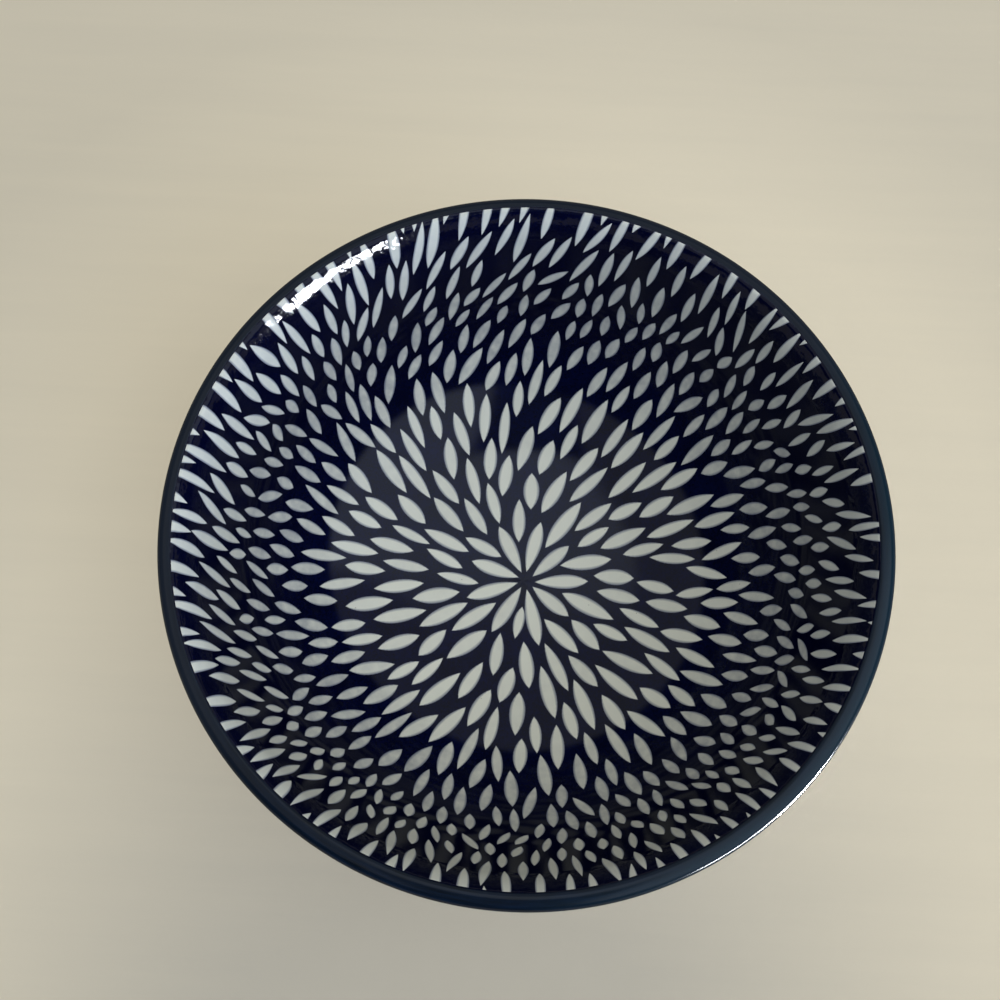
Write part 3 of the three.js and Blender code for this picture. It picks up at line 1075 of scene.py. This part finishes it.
# %% Let discs stand for the petals
DISC_PLACES = np.array([-0.86, -0.5, 0.0, 0.5, 0.86])


def disc_points(petals):
    """Places in space and radii of the discs that stand for each petal, in mm."""
    distance, angle, length, width, lean, skew = (column[:, None] for column in petals.T)
    lean = np.radians(lean)
    ahead = DISC_PLACES * length / 2 * np.cos(lean)
    aside = DISC_PLACES * length / 2 * np.sin(lean)
    at_distance, at_angle = bend_onto(distance, angle, ahead, aside)
    place, normal = walk(INSIDE, at_distance)
    beyond = np.maximum(at_distance - lip_length, 0)
    points = turned(place, normal, np.zeros(at_distance.shape), at_angle)
    points[..., 2] += beyond
    return points, half_width(DISC_PLACES, width, skew)


def crowding(points, radii, first, second, gap):
    """For each pair of petals, how far their closest discs fall short of the gap, and which discs."""
    apart = points[second][:, None, :, :] - points[first][:, :, None, :]
    short = radii[first][:, :, None] + radii[second][:, None, :] + gap - np.linalg.norm(apart, axis=-1)
    flat = short.reshape(len(first), -1)
    worst = flat.argmax(1)
    return flat.max(1), worst // len(DISC_PLACES), worst % len(DISC_PLACES)


print("discs to a petal:", len(DISC_PLACES))

# %% Push crowded petals apart
EVEN_GAP = 1.25
NEAR_ENOUGH = 16.0
PUSH_ROUNDS = 60
PUSH_SHARE = 0.25
SHRINK_ROUNDS = 12
SHRINK_SHARE = 0.965
SHRINK_GAP = 0.75
CROWDED = 0.02


def spread_petals(petals):
    """The same petals, nudged until they keep an even gap."""
    petals = petals.copy()
    points, radii = disc_points(petals)
    middles = points[:, len(DISC_PLACES) // 2]
    apart = np.linalg.norm(middles[:, None] - middles[None], axis=-1)
    first, second = np.nonzero(np.triu(apart < NEAR_ENOUGH, 1))
    for _ in range(PUSH_ROUNDS):
        points, radii = disc_points(petals)
        short, at_first, at_second = crowding(points, radii, first, second, EVEN_GAP)
        way = points[second, at_second] - points[first, at_first]
        way /= np.maximum(np.linalg.norm(way, axis=1, keepdims=True), 1e-6)
        nudge = PUSH_SHARE * np.clip(short, 0, 1)[:, None] * way
        push = np.zeros((len(petals), 3))
        np.add.at(push, second, nudge)
        np.add.at(push, first, -nudge)
        push[:PETALS_IN_FIRST_RING] = 0
        angle = petals[:, 1]
        slope = np.interp(petals[:, 0], section_steps, section_slopes)
        rise = np.sqrt(np.maximum(1 - slope**2, 0))
        outward = push[:, 0] * np.cos(angle) + push[:, 1] * np.sin(angle)
        sideways = push[:, 1] * np.cos(angle) - push[:, 0] * np.sin(angle)
        petals[:, 0] += outward * slope + push[:, 2] * rise
        petals[:, 1] += sideways / radius_at(petals[:, 0])
    for _ in range(SHRINK_ROUNDS):
        points, radii = disc_points(petals)
        short = crowding(points, radii, first, second, EVEN_GAP * SHRINK_GAP)[0]
        worst = np.zeros(len(petals))
        np.maximum.at(worst, first, short)
        np.maximum.at(worst, second, short)
        worst[:PETALS_IN_FIRST_RING] = 0
        petals[:, 2:4] *= np.where(worst > CROWDED, SHRINK_SHARE, 1.0)[:, None]
    return petals


petals = spread_petals(petals)
print("petals with their middle on the lining:", int((petals[:, 0] < lining_edge).sum()))

# %% [markdown]
# Each petal becomes a thin tile let into the lining: a grid of points with a low dome on top, sides
# that go down into the coat and one row of faces underneath. A petal that reaches the band is cut off
# in a clean line just short of it. On the real bowl the band was laid over the petals' ends.

# %% Find where the band cuts a petal off
TILE_STEPS_ACROSS = 4
BAND_CLEARANCE = 0.22
HALVINGS = 24
BURST_SHIFT = (0.88, -0.01)
across_places = np.linspace(-1, 1, TILE_STEPS_ACROSS + 1)


def shift_burst(distance, angle):
    """The burst isn't printed exactly in the middle: near the middle its places move to one side."""
    radius = radius_at(distance)
    fade = np.clip(1 - distance / lining_edge, 0, 1)
    along_x = radius * np.cos(angle) + BURST_SHIFT[0] * fade
    along_y = radius * np.sin(angle) + BURST_SHIFT[1] * fade
    moved = np.interp(np.hypot(along_x, along_y), section_radii, section_steps)
    return moved + np.maximum(distance - lip_length, 0), np.arctan2(along_y, along_x)


def petal_place(petal, along, across):
    """Distance and angle of a place on a petal: along from -1 to 1, across from -1 to 1."""
    distance, angle, length, width, lean, skew = petal
    lean = math.radians(lean)
    forward = along * length / 2
    sideways = across * half_width(along, width, skew)
    ahead = forward * math.cos(lean) - sideways * math.sin(lean)
    aside = forward * math.sin(lean) + sideways * math.cos(lean)
    return shift_burst(*bend_onto(distance, angle, ahead, aside))


def cut_at_band(petal):
    """For each line across, how far along the petal the line runs before it comes to the band."""
    low = np.full(len(across_places), -1.0)
    high = np.ones(len(across_places))
    for _ in range(HALVINGS):
        middle = (low + high) / 2
        distance, angle = petal_place(petal, middle, across_places)
        inside = distance < band_begins(angle) - BAND_CLEARANCE
        low = np.where(inside, middle, low)
        high = np.where(inside, high, middle)
    return high


print("lines along a petal:", len(across_places))

# %% Shape the petal tiles
TILE_STEP = 1.0
TILE_LIP_STEP = 0.18
TILE_EDGE_LIFT = 0.008
TILE_DOME = 0.03
TILE_DEPTH = 0.12
SHORTEST_TILE = 1.0
WHOLE = 0.999


def petal_tile(petal):
    """Top and foot points, edge values and whether the tip is cut, or nothing if the band hides it."""
    length, width, skew = petal[2], petal[3], petal[5]
    ends = cut_at_band(petal)
    is_cut = bool(ends.min() < WHOLE)
    shown = (ends.max() + 1) * length / 2
    if shown < SHORTEST_TILE:
        return None
    below_lip = min(max((wall_top - TILE_STEP - petal[0] + length / 2) / shown, 0), 1)
    rows = np.concatenate([
        np.linspace(0, below_lip, math.ceil(below_lip * shown / TILE_STEP), endpoint=False),
        np.linspace(below_lip, 1, math.ceil((1 - below_lip) * shown / TILE_LIP_STEP) + 1),
    ])
    along = -1 + (ends[None, :] + 1) * rows[:, None]
    across = np.broadcast_to(across_places, along.shape)
    distance, angle = petal_place(petal, along, across)
    fullness = np.clip(half_width(along, width, skew) / (width / 2), 0, 1)
    lift = TILE_EDGE_LIFT + TILE_DOME * fullness * (1 - across**2)
    top = lining_point(distance, angle, lift)
    foot = lining_point(distance[:, [0, -1]], angle[:, [0, -1]], -TILE_DEPTH)
    return top, foot, np.abs(across), is_cut, petal[0], petal[1]


tiles = [tile for tile in map(petal_tile, petals) if tile]
print("tiles that show:", len(tiles))

# %% [markdown]
# The grid of a tile narrows to one point at its foot, and at its tip unless it was cut there. Those
# ends are joined as triangles, so that no face is left without an area.

# %% Number a tile's points and join them


def number_points(top, is_cut, begun):
    """Which point stands at each place of a tile's grid, and the places that own a point."""
    rows, columns = top.shape[:2]
    numbers = np.zeros((rows, columns), int)
    places = []
    for row in range(rows):
        pointed = row == 0 or (row == rows - 1 and not is_cut)
        for column in range(columns):
            if not pointed or column == 0:
                places.append((row, column))
            numbers[row, column] = begun + len(places) - 1
    return numbers, places


def sheet_faces(numbers):
    """Faces between neighbouring places of a grid, with repeated corners left out."""
    corners = (numbers[:-1, :-1], numbers[1:, :-1], numbers[1:, 1:], numbers[:-1, 1:])
    quads = np.stack([corner.ravel() for corner in corners], -1)
    return [tuple(dict.fromkeys(quad)) for quad in quads.tolist()]


def side_faces(upper, lower, is_cut):
    """Faces down both sides of a tile, and one down its tip if that was cut."""
    left = sheet_faces(np.stack([lower[:, 0], upper[:, 0]], 1))
    right = sheet_faces(np.stack([upper[:, -1], lower[:, -1]], 1))
    tip = [(*upper[-1, ::-1].tolist(), *lower[-1].tolist())] if is_cut else []
    return left + right + tip


print("faces on a grid of nine points:", len(sheet_faces(np.arange(9).reshape(3, 3))))

# %% Join the tiles into one print
# Painted shade: besides each petal's random tint, the slip greys halfway up the wall, and on the lower
# left side the grey reaches lower down.
PAINTED_SHADE_AT = [49, 62, 74, 88]
PAINTED_SHADE_SHARES = [0.0, 1.1, 1.1, 0.2]
PAINTED_SHADE_SIDE = math.radians(247)
PAINTED_SHADE_SIDE_LOWER = 8.0
TINT_SPREAD = 0.4


def join_tiles(tiles):
    """Points, faces, edge values, and tint values with painted shade, of every tile."""
    chance = random.Random(PETAL_SEED + 1)
    points, faces, edges, tints = [], [], [], []
    for top, foot, edge, is_cut, distance, angle in tiles:
        side_shade = PAINTED_SHADE_SIDE_LOWER * max(0.0, math.cos(angle - PAINTED_SHADE_SIDE))
        tint_and_shade = TINT_SPREAD * chance.random()
        tint_and_shade += float(np.interp(distance + side_shade, PAINTED_SHADE_AT, PAINTED_SHADE_SHARES))
        upper, places = number_points(top, is_cut, len(points))
        lower, foot_places = number_points(foot, is_cut, len(points) + len(places))
        ends = (0,) if is_cut else (0, len(top) - 1)
        values = [1.0 if row in ends else float(edge[row, column]) for row, column in places]
        points += [top[place] for place in places] + [foot[place] for place in foot_places]
        edges += values + [1.0] * len(foot_places)
        tints += [tint_and_shade] * (len(places) + len(foot_places))
        faces += sheet_faces(upper)
        faces += [face[::-1] for face in sheet_faces(lower)]
        faces += side_faces(upper, lower, is_cut)
    return points, faces, edges, tints


tile_points, tile_corners, edge_values, tint_and_shade_values = join_tiles(tiles)
petal_print = piece("petal_print", tile_points, tile_corners, slip, None)
for name, values in ((EDGE_ATTRIBUTE, edge_values), (TINT_AND_SHADE_ATTRIBUTE, tint_and_shade_values)):
    attribute = petal_print.data.attributes.new(name, "FLOAT", "POINT")
    attribute.data.foreach_set("value", values)

# %% [markdown]
# ## The table and the light
#
# The bowl stands on a pale beige table by a window. The light in the room is soft: it comes down from
# the ceiling, and more of it from the front right. A world whose brightness changes smoothly with
# direction gives that without a lamp showing in the glaze. Its walls are dim, which keeps the blue
# deep, and a dim patch in front breaks the ceiling's reflection. Low down a pale backdrop stands
# behind the bowl, which is seen and mirrored but gives no light. The levels are plain ones.

# %% Table paint
# Painted shadow in front of the bowl, painted shade towards the far corners, and in the glow painted
# light that grows towards the right. The grain is the table's own.
TABLE_COLOUR = "#f3e5c7"
TABLE_GRAIN_AND_PAINTED_SHADE = "#cac1ad"
TABLE_PAINTED_SHADOW_MIDDLE = (-0.012, -0.125, 0.0)
TABLE_PAINTED_SHADOW_FADES = (0.03, 0.17, 0.95, 0.0)
TABLE_PAINTED_CORNER_SHADE = (0.13, 0.19, 0.0, 0.36)
TABLE_GRAIN_MM = 9.0
TABLE_GRAIN_STRETCH = (0.08, 1.0, 1.0)
TABLE_GRAIN_SHARE = 0.22
TABLE_ROUGHNESS = 0.9
TABLE_GLOW = 0.5
TABLE_LEVEL = 0.755
TABLE_PAINTED_LIGHT_TOWARDS = (0.7, 0.5, 0.0)
TABLE_PAINTED_LIGHT_LEVELS = (-0.12, 0.12, TABLE_LEVEL - 0.05, TABLE_LEVEL + 0.05)


def seen_or_mirrored(node):
    """1 for a ray from the camera or from a glossy or clear surface, 0 for one that carries light."""
    ray = node("LightPath")
    seen = ray.outputs["Is Camera Ray"]
    for name in ("Is Glossy Ray", "Is Transmission Ray"):
        seen = node("Math", [seen, ray.outputs[name]], operation="MAXIMUM")
    return seen


def table_paint():
    """Matt paint that takes the bowl's shadow, seen half lit by a glow, with painted shade and light.
    """
    material, node, place = blank("pale_painted_table")
    along = node("VectorMath", [place, TABLE_GRAIN_STRETCH], operation="MULTIPLY")
    grains = {"Vector": along, "Scale": per_metre(TABLE_GRAIN_MM), "Detail": 4.0, "Roughness": 0.65}
    grain = node("TexNoise", grains)
    # Painted shadow in front of the bowl and painted shade towards the corners.
    near = node("VectorMath", [place, TABLE_PAINTED_SHADOW_MIDDLE], operation="DISTANCE")
    near = node("MapRange", [near, *TABLE_PAINTED_SHADOW_FADES], interpolation_type="SMOOTHSTEP")
    far = node("VectorMath", [place], operation="LENGTH")
    far = node("MapRange", [far, *TABLE_PAINTED_CORNER_SHADE])
    shaded = node("Math", [near, far], operation="MAXIMUM")
    shaded = node("Math", [grain, TABLE_GRAIN_SHARE, shaded], operation="MULTIPLY_ADD")
    colour = node("Mix", [shaded, linear(TABLE_COLOUR), linear(TABLE_GRAIN_AND_PAINTED_SHADE)], data_type="RGBA")
    matt = {"Base Color": colour, "Roughness": TABLE_ROUGHNESS, "Specular IOR Level": 0.0}
    paint = node("BsdfPrincipled", matt)
    # Painted light: the glow grows brighter towards the right.
    painted_light = node("VectorMath", [place, TABLE_PAINTED_LIGHT_TOWARDS], operation="DOT_PRODUCT")
    painted_light = node("MapRange", [painted_light, *TABLE_PAINTED_LIGHT_LEVELS])
    glow = node("Emission", {"Color": colour, "Strength": painted_light})
    share = node("Math", [seen_or_mirrored(node), TABLE_GLOW], operation="MULTIPLY")
    node("OutputMaterial", {"Surface": node("MixShader", [share, paint, glow])})
    return material


table_finish = table_paint()
print("made", table_finish.name)

# %% Lay the table
TABLE_HALF_WIDTH = 30.0
corners = TABLE_HALF_WIDTH * np.array([(-1, -1, 0), (1, -1, 0), (1, 1, 0), (-1, 1, 0)])
table_mesh = bpy.data.meshes.new("table")
table_mesh.from_pydata(corners.tolist(), [], [(0, 1, 2, 3)])
table_mesh.materials.append(table_finish)
table = bpy.data.objects.new("table", table_mesh)
bpy.context.scene.collection.objects.link(table)
print("table laid, half width in metres:", TABLE_HALF_WIDTH)

# %% [markdown]
# The room is the world's own shader, so it needs no walls of mesh. Each part of it is a level that
# changes smoothly with the direction in which one looks, and levels that have to hold together are
# multiplied: the ceiling's brightness, where the ceiling begins, and the dim patch in it.

# %% Levels of the room
CEILING_COLOUR = "#fcfffb"
CEILING_BRIGHT_COLOUR = "#e6f1ff"
CEILING_LEVEL = 0.66
CEILING_BRIGHT_LEVEL = 1.82
CEILING_BRIGHTENS = (0.0, 1.0, CEILING_LEVEL, CEILING_BRIGHT_LEVEL)
CEILING_UP = (0.09, 0.083, 0.934)
CEILING_DIP = -0.1
CEILING_BEGINS = (0.527, 0.587, 0.0, 1.0)
BRIGHT_ENDS_BEHIND = (0.18, 0.33, 1.0, 0.0)
BRIGHT_GROWS_TO_THE_RIGHT = (-0.30, 0.0, 0.0, 1.0)
PATCH_ENDS_BESIDE = (0.14, 0.28, 1.0, 0.0)
PATCH_ENDS_BEHIND = (-0.25, -0.10, 1.0, 0.0)
PATCH_DIMS = (0.0, 1.0, 1.0, 0.1)
WALL_COLOUR = "#c3daff"
WALL_LEVEL = 0.065
BACKDROP_COLOUR = "#e9e5dc"
BACKDROP_ENDS = (0.20, 0.28, 0.6, 0.0)


def smooth_product(node, changes):
    """The product of levels, each of which changes smoothly while a value runs from end to end."""
    product = 1.0
    for value, change in changes:
        level = node("MapRange", [value, *change], interpolation_type="SMOOTHSTEP")
        product = node("Math", [product, level], operation="MULTIPLY")
    return product


print("ceiling levels:", CEILING_LEVEL, "to", CEILING_BRIGHT_LEVEL)

# %% Light the room


def light_room(node):
    """A world with a soft ceiling, brighter and bluer towards the window, a dim patch and dim walls."""
    direction = node("TexCoord").outputs["Generated"]
    x, y, z = node("SeparateXYZ", [direction]).outputs
    beside = node("Math", [x], operation="ABSOLUTE")
    up = node("VectorMath", [direction, CEILING_UP], operation="DOT_PRODUCT")
    dip = node("Math", [x, y], operation="MULTIPLY")
    up = node("Math", [dip, CEILING_DIP, up], operation="MULTIPLY_ADD")
    bright = smooth_product(node, [(y, BRIGHT_ENDS_BEHIND), (x, BRIGHT_GROWS_TO_THE_RIGHT)])
    patch = smooth_product(node, [(beside, PATCH_ENDS_BESIDE), (y, PATCH_ENDS_BEHIND)])
    ceiling = [(bright, CEILING_BRIGHTENS), (up, CEILING_BEGINS), (patch, PATCH_DIMS)]
    ceiling = smooth_product(node, ceiling)
    tints = [linear(CEILING_COLOUR), linear(CEILING_BRIGHT_COLOUR)]
    colour = node("Mix", [bright, *tints], data_type="RGBA")
    low = smooth_product(node, [(z, BACKDROP_ENDS)])
    low = node("Math", [low, seen_or_mirrored(node)], operation="MULTIPLY")
    room = node("Background", {"Color": colour, "Strength": ceiling})
    for shade, level in ((WALL_COLOUR, WALL_LEVEL), (BACKDROP_COLOUR, low)):
        part = node("Background", {"Color": linear(shade), "Strength": level})
        room = node("AddShader", [room, part])
    node("OutputWorld", {"Surface": room})


world = bpy.data.worlds.new("room")
bpy.context.scene.world = world
world.use_nodes = True
world.node_tree.nodes.clear()
light_room(partial(add, world.node_tree))
print("lit the", world.name)

# %% [markdown]
# A glazed lip shows a window as a hard white line, thousands of times brighter than the room. A lamp
# that bright would flood the bowl, so its lamps are of two kinds: some give its bluish light and
# aren't seen in the glaze, and two are seen in the glaze and give no light. A weak lamp opposite fills
# the wall that the window leaves in the shade.

# %% Hang the window
WINDOW_COLOUR = "#c8dbff"
SKY_COLOUR = "#c0d6ff"
SHINE_COLOUR = "#f2f7ff"


def hang_lamp(name, colour, radiance, bearing_degrees, height_degrees, distance, wide, tall):
    """An area lamp that faces the bowl's rim, as many degrees wide and tall as it looks from there."""
    around_z, up = math.radians(bearing_degrees), math.radians(height_degrees)
    data = bpy.data.lights.new(name, "AREA")
    data.shape = "RECTANGLE"
    data.size = 2 * distance * math.tan(math.radians(wide / 2))
    data.size_y = 2 * distance * math.tan(math.radians(tall / 2))
    data.energy = radiance * math.pi * data.size * data.size_y
    data.color = linear(colour)[:3]
    lamp = bpy.data.objects.new(name, data)
    lamp.location = (
        distance * math.cos(up) * math.cos(around_z),
        distance * math.cos(up) * math.sin(around_z),
        distance * math.sin(up) + BOWL_HEIGHT * MM,
    )
    lamp.rotation_euler = (math.pi / 2 - up, 0.0, around_z + math.pi / 2)
    lamp.visible_camera = False
    bpy.context.scene.collection.objects.link(lamp)
    print(name, "at, in metres:", [round(side, 2) for side in lamp.location])
    return lamp


# Each lamp: name, colour and radiance, then bearing and height in degrees, distance in metres, and how
# many degrees wide and tall it looks
for light in (
    hang_lamp("window_light", WINDOW_COLOUR, 19.2, -42, 6.5, 2.0, 30, 9),
    hang_lamp("sky_light", SKY_COLOUR, 1.95, -45, 33, 2.0, 52, 30),
    hang_lamp("fill_light", SKY_COLOUR, 1.0, 200, 20, 2.0, 40, 30),
):
    light.visible_glossy = False
for shine in (
    hang_lamp("window_shine", SHINE_COLOUR, 200.0, -41, 9.5, 2.0, 25, 9),
    hang_lamp("sill_shine", SHINE_COLOUR, 1800.0, -32, -2.2, 0.5, 12, 8.4),
):
    shine.visible_diffuse = False
bpy.context.scene.view_settings.view_transform = "Standard"
